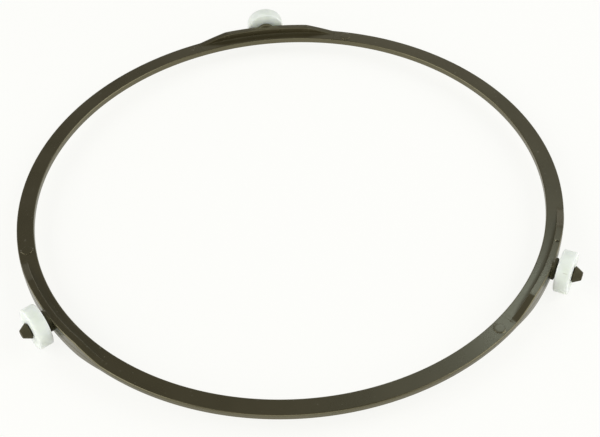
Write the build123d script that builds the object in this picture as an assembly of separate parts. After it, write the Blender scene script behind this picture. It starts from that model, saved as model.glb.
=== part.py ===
from build123d import *

import os
from math import radians, sin

# Roller ring that carries the glass plate of a microwave oven. The origin is on the ring's axis, in the
# plane of the three roller axles. One roller is on +Y, and the other two follow every 120 degrees.

# Band: the flat ring that joins the three rollers
ring_diameter = 200.0
band_width = 6.25
band_thickness = 2.4
band_edge = 0.4

# Boss: the outer side of the band grows up and down to carry a stub, with a ramp at each end
boss_width = 2.5
boss_height = 6.6
boss_rise = 2.6
boss_flat_angle = 20.0
boss_foot_angle = 33.0
boss_edge = 0.4

# Stub: collar, journal and a cone that the roller snaps over
collar_diameter = 7.8
collar_length = 1.0
collar_root = 0.5
collar_edge = 0.25
journal_diameter = 4.6
head_diameter = 6.1
head_length = 2.9
head_tip_diameter = 2.9
head_tip_edge = 0.2

# Roller: a plain wheel that runs loose on its journal
roller_diameter = 15.0
roller_width = 5.0
tread_chamfer = 0.4
bore_chamfer = 0.25
bore_clearance = 0.05
inner_play = 0.85
outer_play = 0.3

# Moulding marks: a low round pad beside each boss, left by an ejector pin, and one gate dimple on a boss
pin_pad_diameter = 4.0
pin_pad_height = 0.2
pin_pad_angle = -20.0
gate_diameter = 1.2
gate_depth = 0.5
gate_angle = 5.7

rollers = {"roller_back": 90.0, "roller_left": 210.0, "roller_right": 330.0}
gate_roller = "roller_right"

ring_radius = ring_diameter / 2
band_inner_radius = ring_radius - band_width
boss_inner_radius = ring_radius - boss_width
boss_top = boss_height / 2
band_top = boss_top - boss_rise
band_bottom = band_top - band_thickness
collar_end = ring_radius + collar_length
head_base = collar_end + inner_play + roller_width + outer_play
head_end = head_base + head_length
bore_diameter = journal_diameter + 2 * bore_clearance


def boss_slab():
    """The ramped outline of a boss about +X, pushed out through the band's outer side."""
    flat = ring_radius * sin(radians(boss_flat_angle / 2))
    foot = ring_radius * sin(radians(boss_foot_angle / 2))
    outline = Polyline(
        (-foot, band_top),
        (-flat, boss_top),
        (flat, boss_top),
        (foot, band_top),
        (foot, band_bottom),
        (flat, -boss_top),
        (-flat, -boss_top),
        (-foot, band_bottom),
        close=True,
    )
    slab = extrude(Plane.YZ * make_face(outline), amount=2 * ring_radius)
    return slab - Cylinder(boss_inner_radius, 2 * boss_height)


def stub():
    """Collar, journal and snap head, turned about the X axis."""
    section = Polyline(
        (ring_radius - collar_root, 0),
        (ring_radius - collar_root, collar_diameter / 2),
        (collar_end - collar_edge, collar_diameter / 2),
        (collar_end, collar_diameter / 2 - collar_edge),
        (collar_end, journal_diameter / 2),
        (head_base, journal_diameter / 2),
        (head_base, head_diameter / 2),
        (head_end - head_tip_edge, head_tip_diameter / 2),
        (head_end, head_tip_diameter / 2 - head_tip_edge),
        (head_end, 0),
        close=True,
    )
    return revolve(Plane.XZ * make_face(section), axis=Axis.X)


def band_blank():
    """A flat disc, wider than the ring, with the ring's opening cut in it and its edges broken."""
    disc = Cylinder(2 * ring_radius, band_thickness) - Cylinder(band_inner_radius, band_thickness)
    opening_edges = [
        edge for edge in disc.edges().filter_by(GeomType.CIRCLE) if edge.radius < ring_radius
    ]
    return Pos(0, 0, (band_top + band_bottom) / 2) * chamfer(opening_edges, band_edge)


def outer_drum():
    """A solid drum whose side is the ring's outer wall, with both rims broken."""
    drum = Cylinder(ring_radius, boss_height)
    return chamfer(drum.edges().filter_by(GeomType.CIRCLE), boss_edge)


def band_with_bosses():
    """The disc with three boss slabs, trimmed to the ring's outer wall."""
    body = band_blank()
    for angle in rollers.values():
        body += Rot(0, 0, angle) * boss_slab()
    return body & outer_drum()


def pin_pad():
    """The low round pad that an ejector pin leaves on the band beside a boss at +X, half of it sunk in."""
    middle_radius = (ring_radius + band_inner_radius) / 2
    disc = Cylinder(pin_pad_diameter / 2, 2 * pin_pad_height)
    return Rot(0, 0, pin_pad_angle) * Pos(middle_radius, 0, band_top) * disc


def gate_dimple():
    """The small round dimple of the mould's gate on top of a boss at +X."""
    middle_radius = ring_radius - boss_width / 2
    disc = Cylinder(gate_diameter / 2, 2 * gate_depth)
    return Rot(0, 0, gate_angle) * Pos(middle_radius, 0, boss_top) * disc


def support_ring():
    """The whole moulding: band, bosses, stubs and moulding marks."""
    body = band_with_bosses()
    for angle in rollers.values():
        body += Rot(0, 0, angle) * stub()
        body += Rot(0, 0, angle) * pin_pad()
    body -= Rot(0, 0, rollers[gate_roller]) * gate_dimple()
    return body


def roller():
    """A wheel with chamfered tread and bore edges, turned about a stub along +X."""
    near_face = collar_end + inner_play
    far_face = near_face + roller_width
    bore_radius = bore_diameter / 2
    tread_radius = roller_diameter / 2
    section = Polyline(
        (near_face, bore_radius + bore_chamfer),
        (near_face + bore_chamfer, bore_radius),
        (far_face - bore_chamfer, bore_radius),
        (far_face, bore_radius + bore_chamfer),
        (far_face, tread_radius - tread_chamfer),
        (far_face - tread_chamfer, tread_radius),
        (near_face + tread_chamfer, tread_radius),
        (near_face, tread_radius - tread_chamfer),
        close=True,
    )
    return revolve(Plane.XZ * make_face(section), axis=Axis.X)


os.makedirs("parts", exist_ok=True)
export_step(support_ring(), "parts/support_ring.step")
for name, angle in rollers.items():
    export_step(Rot(0, 0, angle) * roller(), f"parts/{name}.step")
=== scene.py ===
# %% [markdown]
# # Roller ring of a microwave oven's turntable
#
# The ring lies on the oven's floor and carries the glass plate. It is one dark plastic moulding: a flat
# band, a ramped boss every 120 degrees, and on each boss a stub that points outwards. A white roller runs
# loose on each stub. The packed model is the fixed frame: its bodies say what turns, and its box says how
# large all of it is.

# %% Load the frame
import bmesh
import bpy
import numpy as np
from mathutils import Matrix


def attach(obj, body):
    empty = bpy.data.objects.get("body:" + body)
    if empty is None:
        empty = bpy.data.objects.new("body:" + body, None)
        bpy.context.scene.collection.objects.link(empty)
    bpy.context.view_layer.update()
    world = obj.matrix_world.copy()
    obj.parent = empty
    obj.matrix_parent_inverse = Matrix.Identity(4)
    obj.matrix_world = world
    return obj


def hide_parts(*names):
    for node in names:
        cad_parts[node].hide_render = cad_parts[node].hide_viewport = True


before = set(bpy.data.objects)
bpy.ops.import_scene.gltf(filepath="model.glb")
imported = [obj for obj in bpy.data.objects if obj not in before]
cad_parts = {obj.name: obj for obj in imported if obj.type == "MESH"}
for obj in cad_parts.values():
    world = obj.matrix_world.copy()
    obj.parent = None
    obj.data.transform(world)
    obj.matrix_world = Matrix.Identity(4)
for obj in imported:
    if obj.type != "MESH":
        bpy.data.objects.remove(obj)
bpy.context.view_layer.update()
print("nodes", sorted(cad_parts))

# %% [markdown]
# ## Sizes
#
# The driving sizes are written once, in millimetres, and turned into metres by one factor. Everything else
# follows from them. The axles lie in the plane z = 0, and the band lies a little below the middle of each
# boss.

# %% Driving sizes
mm = 0.001
ring_radius = 100.0 * mm
band_width = 6.25 * mm
band_thickness = 2.4 * mm
boss_width = 2.5 * mm
boss_height = 6.6 * mm
boss_rise = 2.6 * mm
boss_flat = np.radians(10.0)
boss_foot = np.radians(16.5)
stub_turns = {"back": np.radians(90.0), "left": np.radians(210.0), "right": np.radians(330.0)}

band_inner = ring_radius - band_width
boss_inner = ring_radius - boss_width
boss_top = boss_height / 2
band_top = boss_top - boss_rise
band_bottom = band_top - band_thickness
print("band from radius %.4f to %.4f m" % (band_inner, ring_radius))

# %% [markdown]
# ## Rounded corners
#
# A moulding has no knife edges, and the thin light line along a rounded edge is what makes plastic look
# like plastic. So every section here is a short list of corners, and one function rounds them all. It works
# on whole arrays, so the corners may change along the way.

# %% Rounded sections
corner_steps = 6


def rounded(corners, radii, steps, closed=True):
    """Rounds a path of corners. corners has shape (..., n, 2) and radii (..., n).

    At a corner, the unit vectors a and b point to the two neighbours. The arc's centre lies on their
    bisector, at the radius over the sine of half the angle between them, and the arc turns from its foot
    on a to its foot on b. An open path keeps its first and last points.
    """
    before = np.roll(corners, 1, axis=-2) - corners
    after = np.roll(corners, -1, axis=-2) - corners
    a = before / np.linalg.norm(before, axis=-1, keepdims=True)
    b = after / np.linalg.norm(after, axis=-1, keepdims=True)
    half = np.arccos(np.clip((a * b).sum(-1), -1, 1)) / 2
    bisector = (a + b) / np.linalg.norm(a + b, axis=-1, keepdims=True)
    centre = corners + bisector * (radii / np.sin(half))[..., None]
    first = corners + a * (radii / np.tan(half))[..., None] - centre
    last = corners + b * (radii / np.tan(half))[..., None] - centre
    sweep = np.pi - 2 * half
    t = np.linspace(0, 1, steps)
    start_share = np.sin((1 - t) * sweep[..., None]) / np.sin(sweep)[..., None]
    end_share = np.sin(t * sweep[..., None]) / np.sin(sweep)[..., None]
    arcs = centre[..., None, :] + start_share[..., None] * first[..., None, :]
    arcs = arcs + end_share[..., None] * last[..., None, :]
    if closed:
        return arcs.reshape(*corners.shape[:-2], -1, 2)
    inner = arcs[..., 1:-1, :, :].reshape(*corners.shape[:-2], -1, 2)
    return np.concatenate([corners[..., :1, :], inner, corners[..., -1:, :]], axis=-2)


print("corners are rounded in", corner_steps, "steps")

# %% [markdown]
# ## From a grid of points to a mesh
#
# Every surface below is a grid of points. Its columns always wrap round. Its rows wrap round too where the
# shape is like a tyre, or end in two flat caps where it is like a pin.

# %% Grid meshes
merge_distance = 0.002 * mm


def grid_index(points):
    """The number of each point in a grid of points, shape (rows, columns)."""
    return np.arange(points[..., 0].size).reshape(points.shape[:2])


def grid_quads(index, wrap_rows):
    """One face for each cell of a grid: a point, the one below, and the next column's two beside them."""
    here = index if wrap_rows else index[:-1]
    below = np.roll(index, -1, axis=0) if wrap_rows else index[1:]
    quads = np.stack([here, below, np.roll(below, -1, axis=1), np.roll(here, -1, axis=1)], axis=-1)
    return quads.reshape(-1, 4).tolist()


def grid_mesh(name, points, tyre=True):
    """Joins a grid of points, shape (rows, columns, 3), into a closed mesh: a tyre, or a capped pin."""
    index = grid_index(points)
    faces = grid_quads(index, tyre)
    if not tyre:
        faces.append(index[0].tolist())
        faces.append(index[-1][::-1].tolist())
    mesh = bpy.data.meshes.new(name)
    mesh.from_pydata(points.reshape(-1, 3).tolist(), [], faces)
    return clean_mesh(mesh)


def clean_mesh(mesh):
    """Merges points that fall together, drops faces with no area and turns all faces outwards."""
    work = bmesh.new()
    work.from_mesh(mesh)
    bmesh.ops.remove_doubles(work, verts=work.verts, dist=merge_distance)
    bmesh.ops.dissolve_degenerate(work, edges=work.edges, dist=merge_distance / 2)
    bmesh.ops.recalc_face_normals(work, faces=work.faces)
    if work.calc_volume(signed=True) < 0:
        bmesh.ops.reverse_faces(work, faces=work.faces)
    work.to_mesh(mesh)
    work.free()
    return mesh


def add_object(name, mesh):
    """Puts a mesh in the scene under its own name, smooth all over."""
    mesh.shade_smooth()
    piece = bpy.data.objects.new(name, mesh)
    bpy.context.scene.collection.objects.link(piece)
    return piece


print("points closer than %.3f mm are merged" % (merge_distance / mm))

# %% [markdown]
# ## The band and its bosses
#
# Seen along the ring, the section is a flat rectangle. Near a stub its outer side grows upwards and
# downwards, and the ends of that boss are straight ramps. So the ring is one surface of two parameters: the
# turn round the axis, and the way round the section. The section's height and the radii of its corners
# depend on the turn. The crease at the foot of a boss has a very small fillet. A thin ridge at the height of
# the axles is the line where the two halves of the mould met.

# %% Band sizes
band_corner = 0.40 * mm
outer_corner = 0.38 * mm
boss_outer_corner = 0.45 * mm
boss_inner_corner = 0.20 * mm
crease_corner = 0.10 * mm
ramp_softness = 0.035
ridge_height = 0.07 * mm
ridge_half_width = 0.16 * mm
ridge_corner = 0.2 * ridge_height
corner_share = 0.45
turn_step = 0.5
kink_reach = 0.75
kink_turns = 11
least_step = 0.02
print("crease fillet", round(crease_corner / mm, 2), "mm")

# %% [markdown]
# The turns are spread evenly, and closer where a ramp begins or ends. The corners of the section follow from
# the share of the boss that stands at each turn. Where little of it stands, its corners shrink with it.

# %% Band surface
def boss_share(turn):
    """How much of the boss stands at a turn, from 0 to 1: a clipped straight ramp with its two kinks eased.

    Clipping x to 0..1 is (|x| - |x - 1| + 1) / 2, and each absolute value is the root of a square plus a
    little.
    """
    third = 2 * np.pi / 3
    away = np.abs((turn - stub_turns["back"] + third / 2) % third - third / 2)
    x = (boss_foot - away) / (boss_foot - boss_flat)
    soft = ramp_softness ** 2
    return (np.sqrt(x * x + soft) - np.sqrt((x - 1) ** 2 + soft) + 1) / 2


def band_turns():
    """Turns round the ring: evenly spread, and closer at the four kinks of each boss."""
    even = np.radians(np.arange(0, 360, turn_step))
    near = np.radians(np.linspace(-kink_reach, kink_reach, kink_turns))
    edges = (-boss_foot, -boss_flat, boss_flat, boss_foot)
    kinks = [turn + edge for turn in stub_turns.values() for edge in edges]
    fine = (np.array(kinks)[:, None] + near).ravel() % (2 * np.pi)
    turns = np.sort(np.concatenate([even, fine]))
    return turns[np.append(True, np.diff(turns) > np.radians(least_step))]


def band_section(turns):
    """Section of the ring at each turn, as radius and height, shape (turns, points, 2)."""
    share = boss_share(turns)
    up = band_top + boss_rise * share
    down = band_bottom - (band_bottom + boss_top) * share
    flat = np.zeros_like(share)
    rim = outer_corner + (boss_outer_corner - outer_corner) * share
    top_limit = corner_share * (up - band_top)
    bottom_limit = corner_share * (band_bottom - down)
    columns = [
        (band_inner, flat + band_bottom, band_corner),
        (band_inner, flat + band_top, band_corner),
        (boss_inner, flat + band_top, np.minimum(crease_corner, top_limit)),
        (boss_inner, up, np.minimum(boss_inner_corner, top_limit)),
        (ring_radius, up, rim),
        (ring_radius, flat + ridge_half_width, ridge_corner),
        (ring_radius + ridge_height, flat, ridge_corner),
        (ring_radius, flat - ridge_half_width, ridge_corner),
        (ring_radius, down, rim),
        (boss_inner, down, np.minimum(boss_inner_corner, bottom_limit)),
        (boss_inner, flat + band_bottom, np.minimum(crease_corner, bottom_limit)),
    ]
    corners = np.stack([np.stack([r + flat, z], -1) for r, z, _ in columns], axis=1)
    radii = np.stack([flat + radius for _, _, radius in columns], axis=1)
    return rounded(corners, radii, corner_steps)


def band_surface():
    """The section carried round the axis: x = r cos(turn), y = r sin(turn)."""
    turns = band_turns()
    section = band_section(turns)
    r, z = section[..., 0], section[..., 1]
    return np.stack([r * np.cos(turns)[:, None], r * np.sin(turns)[:, None], z], axis=-1)


band_mesh = grid_mesh("support_ring_moulding", band_surface())
print("band", len(band_mesh.vertices), "points", len(band_mesh.polygons), "faces")

# %% [markdown]
# ## The stubs
#
# Each stub is turned, as on a lathe, about its own radial axis: a round collar against the boss, a journal
# for the roller, and a cone with a flat back that the roller was snapped over. A profile of distance along
# the axis and radius is carried round that axis.

# %% Stub surfaces
collar_radius = 3.9 * mm
collar_length = 1.0 * mm
collar_root = 0.5 * mm
journal_radius = 2.3 * mm
roller_width = 5.0 * mm
inner_play = 0.85 * mm
outer_play = 0.3 * mm
head_radius = 3.05 * mm
head_length = 2.9 * mm
head_tip_radius = 1.45 * mm
root_corner = 0.1 * mm
collar_corner = 0.25 * mm
journal_inner_corner = 0.15 * mm
journal_outer_corner = 0.1 * mm
head_base_corner = 0.18 * mm
head_tip_corner = 0.3 * mm
pole_radius = 0.2 * mm
collar_end = ring_radius + collar_length
head_base = collar_end + inner_play + roller_width + outer_play
head_end = head_base + head_length
stub_sides = 72


def turned(profile, turn, sides):
    """Carries a profile of (distance out, radius) round the radial axis at a turn.

    The point at angle s on the circle is out * radial + radius * (cos s * sideways + sin s * up).
    """
    s = np.linspace(0, 2 * np.pi, sides, endpoint=False)
    radial = np.array([np.cos(turn), np.sin(turn), 0.0])
    sideways = np.array([-np.sin(turn), np.cos(turn), 0.0])
    up = np.array([0.0, 0.0, 1.0])
    circle = np.cos(s)[:, None] * sideways + np.sin(s)[:, None] * up
    return profile[:, :1, None] * radial + profile[:, 1:, None] * circle


def stub_profile():
    """Collar, journal and cone as corners of an open path: distance out, radius and the corner's rounding.

    The two ends of the path stay as they are, so their rounding isn't used.
    """
    path = np.array([
        (ring_radius - collar_root, pole_radius, root_corner),
        (ring_radius - collar_root, collar_radius, root_corner),
        (collar_end, collar_radius, collar_corner),
        (collar_end, journal_radius, journal_inner_corner),
        (head_base, journal_radius, journal_outer_corner),
        (head_base, head_radius, head_base_corner),
        (head_end, head_tip_radius, head_tip_corner),
        (head_end, pole_radius, head_tip_corner),
    ])
    return rounded(path[:, :2], path[:, 2], corner_steps, closed=False)


stub_meshes = []
for side, turn in stub_turns.items():
    stub_meshes.append(grid_mesh("stub_" + side, turned(stub_profile(), turn, stub_sides), tyre=False))
print("stubs end at", round(head_end / mm, 2), "mm from the axis")

# %% [markdown]
# ## One moulding
#
# Band and stubs came out of one mould, so they become one closed mesh here: a union keeps no hidden walls
# inside.

# %% Discs and unions
disc_sides = 48


def disc_mesh(name, steps, distance, turn):
    """A short upright pin at a distance and turn, from steps of (radius, height)."""
    s = np.linspace(0, 2 * np.pi, disc_sides, endpoint=False)
    radius, height = np.array(steps).T[:, :, None]
    x = distance * np.cos(turn) + radius * np.cos(s)
    y = distance * np.sin(turn) + radius * np.sin(s)
    return grid_mesh(name, np.stack([x, y, height + 0 * s], axis=-1), tyre=False)


def combine(piece, meshes, operation):
    """Applies a union or a difference with each mesh, and leaves one plain mesh on the piece."""
    for mesh in meshes:
        tool = bpy.data.objects.new(mesh.name, mesh)
        bpy.context.scene.collection.objects.link(tool)
        cut = piece.modifiers.new(operation.lower(), "BOOLEAN")
        cut.operation = operation
        cut.solver = "EXACT"
        cut.object = tool
        evaluated = piece.evaluated_get(bpy.context.evaluated_depsgraph_get())
        result = bpy.data.meshes.new_from_object(evaluated)
        piece.modifiers.remove(cut)
        piece.data = result
        bpy.data.objects.remove(tool)


support_ring = add_object("support_ring_moulding", band_mesh)
print("moulding starts with", len(support_ring.data.polygons), "faces")

# %% [markdown]
# The same tool makes the marks of the moulding: a low round pad beside each boss, where an ejector pin
# pushed the part out, and a small dimple where the plastic was let in.

# %% Stubs, pin pads and gate
pin_radius = 2.0 * mm
pin_height = 0.20 * mm
pin_rim = 0.12 * mm
pin_offset = np.radians(-20.0)
gate_radius = 0.60 * mm
gate_depth = 0.50 * mm
gate_offset = np.radians(5.7)
band_middle = (ring_radius + band_inner) / 2
boss_middle = ring_radius - boss_width / 2
pad_corners = np.array([
    (pin_radius, band_top - pin_height),
    (pin_radius, band_top + pin_height),
    (pin_radius / 2, band_top + pin_height),
])
pad_steps = rounded(pad_corners, np.full(len(pad_corners), pin_rim), corner_steps, closed=False)
gate_steps = [(gate_radius, boss_top - gate_depth), (gate_radius, boss_top + gate_depth)]
pads = [disc_mesh("pin_pad", pad_steps, band_middle, turn + pin_offset) for turn in stub_turns.values()]
gate = disc_mesh("gate", gate_steps, boss_middle, stub_turns["right"] + gate_offset)
combine(support_ring, stub_meshes + pads, "UNION")
combine(support_ring, [gate], "DIFFERENCE")
support_ring.data.shade_smooth()
print("moulding", len(support_ring.data.vertices), "points", len(support_ring.data.polygons), "faces")

# %% [markdown]
# ## The rollers
#
# A roller is a plain wheel: a tread, two flat faces and a bore that runs on the journal with a little
# clearance. Its section is a closed loop, so the wheel is a tyre in the sense of the mesh tool. Its edges
# are generously rounded, because it is a soft slippery plastic that was moulded, not cut.

# %% Roller surfaces
roller_radius = 7.5 * mm
bore_radius = 2.35 * mm
tread_corner = 0.55 * mm
bore_corner = 0.25 * mm
roller_sides = 144
roller_corner_steps = 8


def roller_profile():
    """The wheel's section as a closed loop: bore, near face, tread and far face."""
    near = collar_end + inner_play
    far = near + roller_width
    out = [near, near, far, far]
    corners = np.stack([out, [bore_radius, roller_radius, roller_radius, bore_radius]], axis=-1)
    radii = np.array([bore_corner, tread_corner, tread_corner, bore_corner])
    return rounded(corners, radii, roller_corner_steps)


rollers = {}
for side, turn in stub_turns.items():
    wheel_mesh = grid_mesh("roller_" + side + "_wheel", turned(roller_profile(), turn, roller_sides))
    rollers[side] = add_object("roller_" + side + "_wheel", wheel_mesh)
print("rollers", len(rollers), "of", len(wheel_mesh.polygons), "faces")

# %% [markdown]
# ## Even shading on flats
#
# A smooth surface shares its normals between a wide flat and the narrow rounding beside it, and then the
# flat looks dished. Weighted normals give the wide face the say, so flats stay flat and only the rounded
# edges turn.

# %% Weighted normals
for piece in [support_ring, *rollers.values()]:
    weighting = piece.modifiers.new("even_flats", "WEIGHTED_NORMAL")
    weighting.mode = "FACE_AREA"
    weighting.keep_sharp = True
print("weighted normals on", 1 + len(rollers), "pieces")

# %% [markdown]
# ## Writing shader maths
#
# A finish is a small sum: so much colour from a slow mottling, so much roughness from a fine grain. The
# class below wraps one socket, and its operators add the Math nodes, so that such a sum reads as one line.

# %% Socket class
class Value:
    """A number that varies over a surface: one output socket in a node tree, with Python's arithmetic."""

    def __init__(self, finish, socket):
        self.finish = finish
        self.socket = socket

    def joined(self, operation, left, right):
        """One Math node over two numbers, either of which may be plain."""
        return self.finish.node("ShaderNodeMath", {"operation": operation}, {0: left, 1: right})

    def __add__(self, other):
        return self.joined("ADD", self, other)

    def __radd__(self, other):
        return self.joined("ADD", other, self)

    def __sub__(self, other):
        return self.joined("SUBTRACT", self, other)

    def __rsub__(self, other):
        return self.joined("SUBTRACT", other, self)

    def __mul__(self, other):
        return self.joined("MULTIPLY", self, other)

    def __rmul__(self, other):
        return self.joined("MULTIPLY", other, self)

    def __abs__(self):
        return self.joined("ABSOLUTE", self, 0.0)


print("a value joins with", [name for name in vars(Value) if name.startswith("__r")])

# %% [markdown]
# Every other node comes from one method of the finish, which takes the type, the settings and the sockets.
# The short methods after it name the few patterns that the two plastics are made of.

# %% Node method and patterns
strip_core = 0.6


class Finish:
    """One material's node tree, with its shader and its object coordinates."""

    def __init__(self, name):
        self.material = bpy.data.materials.new(name)
        self.material.use_nodes = True
        self.tree = self.material.node_tree
        self.shader = self.tree.nodes["Principled BSDF"]
        self.place = self.node("ShaderNodeTexCoord", {}, {}, "Object")

    def node(self, kind, settings, sockets, output=0):
        """Adds a node: settings first, then a link or a plain value for each socket. Returns one output."""
        added = self.tree.nodes.new(kind)
        for key, value in settings.items():
            setattr(added, key, value)
        for key, value in sockets.items():
            self.feed(added.inputs[key], value)
        return Value(self, added.outputs[output])

    def feed(self, socket, value):
        """Links a value to a socket, or writes a plain number or colour on it."""
        if isinstance(value, Value):
            self.tree.links.new(value.socket, socket)
        else:
            socket.default_value = value

    def set(self, **sockets):
        """Feeds the shader's own sockets, named with underscores for spaces."""
        for key, value in sockets.items():
            self.feed(self.shader.inputs[key.replace("_", " ")], value)

    def noise(self, scale, detail=3.0):
        """Noise from 0 to 1 about a half, in object coordinates."""
        sockets = {"Vector": self.place, "Scale": scale, "Detail": detail}
        return self.node("ShaderNodeTexNoise", {}, sockets, "Fac")

    def between(self, low, high, share):
        """A colour between two, by a share from 0 to 1."""
        return self.node("ShaderNodeMix", {"data_type": "RGBA"}, {"Factor": share, 6: low, 7: high}, 2)

    def range(self, value, low, high):
        """Stretches a part of a value's range to 0..1 and clips it there."""
        limits = {"Value": value, "From Min": low, "From Max": high}
        return self.node("ShaderNodeMapRange", {"clamp": True}, limits)

    def axis(self, name):
        """One object coordinate, X, Y or Z, in metres."""
        return self.node("ShaderNodeSeparateXYZ", {}, {0: self.place}, name)

    def strip(self, value, middle, half):
        """A share of 1 close to a middle value, falling to 0 at half a width from it."""
        return self.range(abs(value - middle), half, strip_core * half)

    def bump(self, height, distance):
        """A normal bent by a height, whose full swing is a real distance in metres."""
        return self.node("ShaderNodeBump", {}, {"Height": height, "Distance": distance, "Strength": 1.0})


print("patterns", [name for name in vars(Finish) if not name.startswith("__")])

# %% [markdown]
# ## Dark moulded plastic
#
# The ring is a dark brown, almost black plastic with an olive tinge. It is shiny enough to mirror the pale
# floor in its walls, but its flats are slightly orange-peeled, so the mirror is blurred. A slow mottling of
# colour and gloss comes from the flow of the melt, a fine grain from the mould, and a few pale specks are
# dust. The stubs are dull, and so is the corner in front of each boss, where the mould is hard to polish.
# Both are also painted a darker brown, which is painted shade.

# %% Dull places on the ring, with painted shade
crease_width = 2.0 * mm
crease_height = 0.2 * mm
stub_start = ring_radius + 0.1 * mm
stub_full = ring_radius + 0.3 * mm


def stub_shade(finish):
    """Share of the dull stubs, whose colour is also painted darker as painted shade: all that lies further
    out than the band.
    """
    x, y = finish.axis("X"), finish.axis("Y")
    return finish.range(x * x + y * y, stub_start ** 2, stub_full ** 2)


def crease_shade(finish):
    """Share of the dull corner in front of a boss, whose colour is also painted darker as painted shade: on
    the flat it grows up to the wall's foot.
    """
    x, y = finish.axis("X"), finish.axis("Y")
    square = x * x + y * y
    before = finish.range(square, (boss_inner - crease_width) ** 2, boss_inner ** 2)
    behind = finish.range(square, (boss_inner + crease_height) ** 2, boss_inner ** 2)
    level = finish.strip(finish.axis("Z"), band_top, crease_height)
    ends = boss_inner * np.cos((boss_foot, boss_flat))
    outs = [x * np.cos(turn) + y * np.sin(turn) for turn in stub_turns.values()]
    beside = sum(finish.range(out, *ends) for out in outs)
    return before * behind * level * beside


print("dull corner", round(crease_width / mm, 2), "mm wide")

# %% [markdown]
# The colour runs between two browns, and at the dull places it turns to a third, darker brown, which is
# painted shade.
# Roughness is the plain plastic's, with a share added for each dull place. A high refractive index gives the
# strong sheen, and a tint keeps that sheen olive.

# %% Ring finish
brown_dark = (0.019, 0.015, 0.006, 1)
brown_light = (0.028, 0.023, 0.011, 1)
# painted shade: the darker brown of the stubs and of the corner in front of each boss
brown_painted_shade = (0.009, 0.008, 0.003, 1)
dust_pale = (0.22, 0.21, 0.18, 1)
dust_least = 0.74
dust_full = 0.80
ring_bump = 0.012 * mm


def ring_plastic():
    """Dark brown gloss plastic: mottled colour, uneven gloss, fine grain, specks of dust, and painted shade
    on the stubs and in front of the bosses.
    """
    finish = Finish("ring_plastic_dark_brown")
    mottle = finish.noise(55.0)
    grain = finish.noise(2600.0, 2.0)
    flow = finish.noise(160.0, 2.0)
    dust = finish.range(finish.noise(900.0, 1.0), dust_least, dust_full)
    stub = stub_shade(finish)
    crease = crease_shade(finish)
    plain = finish.between(brown_dark, brown_light, finish.range(mottle, 0.3, 0.7))
    # painted shade: the stubs turn fully, and the corner in front of each boss half, to the darker brown
    plain = finish.between(plain, brown_painted_shade, stub + crease * 0.5)
    finish.set(
        Base_Color=finish.between(plain, dust_pale, dust * 0.35),
        Roughness=0.24 + mottle * 0.08 + stub * 0.65 + crease * 0.42 + dust * 0.20,
        Normal=finish.bump(grain * 0.5 + flow, ring_bump),
        IOR=2.0,
        Specular_Tint=(1.0, 0.92, 0.58, 1),
    )
    return finish.material


ring_finish = ring_plastic()
support_ring.data.materials.append(ring_finish)
print("ring finish", ring_finish.name)

# %% [markdown]
# ## White roller plastic
#
# The rollers are a natural white slippery plastic, a little warm and a little see-through, with a satin
# gloss. Light that enters at the top comes out lower down, so their shaded sides stay pale. The right roller
# has one fine line across half of its tread, a witness of its mould.

# %% Roller finish
witness_out = 104.95 * mm
witness_length = 1.8 * mm
witness_height = 5.0 * mm
witness_width = 0.30 * mm
witness_side = -1.0 * mm
white_low = (0.72, 0.76, 0.69, 1)
white_high = (0.79, 0.83, 0.77, 1)
witness_grey = (0.50, 0.50, 0.45, 1)
roller_bump = 0.010 * mm


def roller_witness(finish):
    """Share of the fine line on the right roller: a strip along its axis, at one height, on one side."""
    turn = stub_turns["right"]
    x, y, z = finish.axis("X"), finish.axis("Y"), finish.axis("Z")
    out = x * np.cos(turn) + y * np.sin(turn)
    sideways = y * np.cos(turn) - x * np.sin(turn)
    near = finish.range(sideways, 0.0, witness_side)
    along = finish.strip(out, witness_out, witness_length / 2)
    return near * along * finish.strip(z, witness_height, witness_width / 2)


def roller_plastic():
    """Satin natural white: faint warm clouding, a fine scuffed grain and the mould's witness line."""
    finish = Finish("roller_plastic_white")
    cloud = finish.range(finish.noise(220.0, 2.0), 0.3, 0.7)
    grain = finish.noise(3200.0, 2.0)
    plain = finish.between(white_low, white_high, cloud)
    finish.set(
        Base_Color=finish.between(plain, witness_grey, roller_witness(finish) * 0.6),
        Roughness=0.38 + grain * 0.16,
        Normal=finish.bump(grain, roller_bump),
        IOR=1.43,
        Subsurface_Weight=0.9,
        Subsurface_Radius=(1.0, 1.0, 0.9),
        Subsurface_Scale=4.0 * mm,
    )
    return finish.material


roller_finish = roller_plastic()
for wheel in rollers.values():
    wheel.data.materials.append(roller_finish)
print("roller finish", roller_finish.name)

# %% [markdown]
# ## Floor and backdrop
#
# The part lies on plain white. A large plate would do, but from low down its far edge would show against
# the room, so the floor is a profile carried round the axis, like a very flat bowl: level for some metres,
# then a rim that rises as the backdrop. It is pale and matt and keeps the soft shadow of the ring. A share
# of plain white is added for rays that come from the camera or from a mirroring wall, and further out, where
# no shadow falls, it is all white.

# %% Floor sizes and surface
floor_height = -roller_radius
floor_hub = 0.003
floor_reach = 3.0
rim_reach = 0.6
rim_rise = 0.85
floor_sides = 96
rim_steps = 16


def floor_surface():
    """The bowl: level out to its reach, then a quarter of an ellipse, carried round the z axis."""
    s = np.linspace(0, 2 * np.pi, floor_sides, endpoint=False)
    climb = np.linspace(0, np.pi / 2, rim_steps)
    out = np.concatenate([[floor_hub], floor_reach + rim_reach * np.sin(climb)])
    height = np.concatenate([[0.0], rim_rise * (1 - np.cos(climb))])
    x = out[:, None] * np.cos(s)
    y = out[:, None] * np.sin(s)
    return np.stack([x, y, floor_height + height[:, None] + 0 * s], axis=-1)


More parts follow.
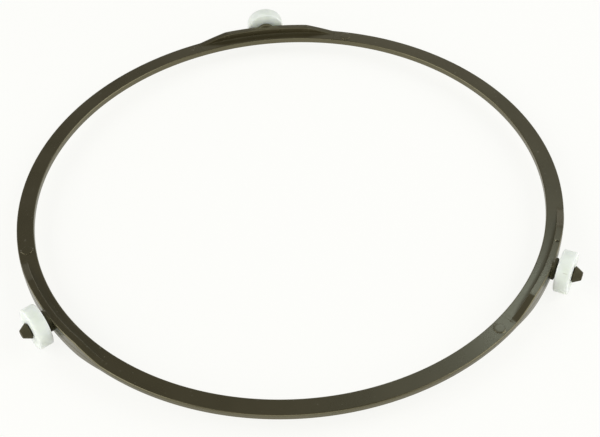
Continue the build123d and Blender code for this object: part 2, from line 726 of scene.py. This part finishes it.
floor_points = floor_surface()
floor_index = grid_index(floor_points)
floor_mesh = bpy.data.meshes.new("floor")
floor_faces = grid_quads(floor_index, wrap_rows=False) + [floor_index[0].tolist()]
floor_mesh.from_pydata(floor_points.reshape(-1, 3).tolist(), [], floor_faces)
floor = add_object("floor", floor_mesh)
print("floor at", round(floor_height / mm, 2), "mm")

# %% [markdown]
# The floor's own colour is a pale matt white. The plain white that is mixed in has a strength of 1.

# %% Floor finish
shadow_reach = 0.3
white_reach = 0.9
floor_white_share = 0.85
floor_pale = (0.96, 0.96, 0.94, 1)
floor_plain = (1.0, 1.0, 0.97, 1)


def floor_white():
    """Matt white, and plain white for what is seen directly or mirrored: more of it further out."""
    finish = Finish("floor_white")
    finish.set(Base_Color=floor_pale, Roughness=0.9, Specular_IOR_Level=0.0)
    kinds = ("Is Camera Ray", "Is Glossy Ray", "Is Transmission Ray")
    seen = sum(finish.node("ShaderNodeLightPath", {}, {}, kind) for kind in kinds)
    x, y = finish.axis("X"), finish.axis("Y")
    far = finish.range(x * x + y * y, shadow_reach ** 2, white_reach ** 2)
    share = seen * (floor_white_share + (1 - floor_white_share) * far)
    white = finish.node("ShaderNodeEmission", {}, {"Color": floor_plain, "Strength": 1.0})
    shaded = Value(finish, finish.shader.outputs["BSDF"])
    both = finish.node("ShaderNodeMixShader", {}, {0: share, 1: shaded, 2: white})
    finish.feed(finish.tree.nodes["Material Output"].inputs["Surface"], both)
    return finish.material


floor_finish = floor_white()
floor_mesh.materials.append(floor_finish)
print("floor finish", floor_finish.name)

# %% [markdown]
# ## Light
#
# Two large soft lamps, low on the left and on the right, do most of the work, and a weaker one low in front
# opens the shaded sides of the rollers. A weak cool lamp high behind on the right puts a pale sheen on the
# flats of that side, a very small one close by adds the bright patch beside the right boss, and a wide low
# one behind lifts the far flats. The room itself is dim and grey, so the dark flats, which mirror it, stay
# dark. The lamps are hidden from the camera, because from low down they would stand in the picture.

# %% Lamp tool
def softbox(name, turn, height, distance, width, power, colour=(1.0, 1.0, 1.0)):
    """A square area lamp that looks at the origin, from a turn and a height in degrees and a distance."""
    lamp = bpy.data.lights.new(name, "AREA")
    lamp.shape = "SQUARE"
    lamp.size = width
    lamp.energy = power
    lamp.color = colour
    holder = bpy.data.objects.new(name, lamp)
    turn, height = np.radians((turn, height))
    back = np.array((np.cos(turn) * np.cos(height), np.sin(turn) * np.cos(height), np.sin(height)))
    right = np.array((-np.sin(turn), np.cos(turn), 0.0))
    holder.matrix_world = axes_matrix(right, np.cross(back, right), back, back * distance)
    holder.visible_camera = False
    bpy.context.scene.collection.objects.link(holder)


def axes_matrix(right, up, back, place):
    """The matrix whose columns are a lamp's or camera's right, up and back, and its place."""
    matrix = np.eye(4)
    matrix[:3, 0] = right
    matrix[:3, 1] = up
    matrix[:3, 2] = back
    matrix[:3, 3] = place
    return Matrix(matrix.tolist())


print("lamp tool ready")

# %% [markdown]
# Turns and heights of the lamps are in degrees about the ring's middle, distances and widths in metres, and
# powers in watts.

# %% Lamps and room
cool = (0.88, 1.04, 1.30)
room_grey = (0.24, 0.24, 0.24, 1)
softbox("left", turn=188.0, height=30.0, distance=1.2, width=1.3, power=12.2)
softbox("right", turn=352.0, height=30.0, distance=1.1, width=1.2, power=10.1)
softbox("front", turn=262.0, height=12.0, distance=1.4, width=1.0, power=5.0)
softbox("back_right", turn=61.0, height=53.0, distance=0.86, width=0.30, power=0.13, colour=cool)
softbox("glint", turn=31.1, height=50.5, distance=0.216, width=0.022, power=0.010, colour=cool)
softbox("back", turn=79.0, height=22.5, distance=1.2, width=0.6, power=0.34)
room = bpy.data.worlds.new("room")
room.use_nodes = True
room.node_tree.nodes["Background"].inputs["Color"].default_value = room_grey
bpy.context.scene.world = room
bpy.context.scene.view_settings.view_transform = "Standard"
print("lamps", len(bpy.data.lights))

# %% [markdown]
# ## Camera
#
# The camera stands where the photograph was taken from, above the near side of the ring. Its place is in the
# part's own frame, and three angles turn it: yaw about the vertical, pitch down to the ring, and roll about
# the line of sight.

# %% Camera
camera_place = np.array((-17.98, -316.71, 306.62)) * mm
camera_yaw = np.radians(-3.901)
camera_pitch = np.radians(45.282)
camera_roll = np.radians(-2.948)
level = np.array((np.cos(camera_yaw), np.sin(camera_yaw), 0.0))
behind = np.array((np.sin(camera_yaw), -np.cos(camera_yaw), 0.0))
back = np.cos(camera_pitch) * behind + np.sin(camera_pitch) * np.array((0.0, 0.0, 1.0))
steep = np.cross(back, level)
right = np.cos(camera_roll) * level + np.sin(camera_roll) * steep
up = np.cos(camera_roll) * steep - np.sin(camera_roll) * level
lens = bpy.data.cameras.new("photo_camera")
lens.sensor_fit = "HORIZONTAL"
lens.sensor_width = 36.0
lens.lens = 71.5
lens.clip_start = 0.01
camera = bpy.data.objects.new("photo_camera", lens)
camera.matrix_world = axes_matrix(right, up, back, camera_place)
bpy.context.scene.collection.objects.link(camera)
bpy.context.scene.camera = camera
print("camera at", camera_place.round(4))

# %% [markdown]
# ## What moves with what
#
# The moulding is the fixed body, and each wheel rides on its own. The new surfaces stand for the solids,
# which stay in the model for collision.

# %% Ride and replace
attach(support_ring, "ring")
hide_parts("support_ring")
for side, wheel in rollers.items():
    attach(wheel, "wheel_" + side)
    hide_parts("roller_" + side)
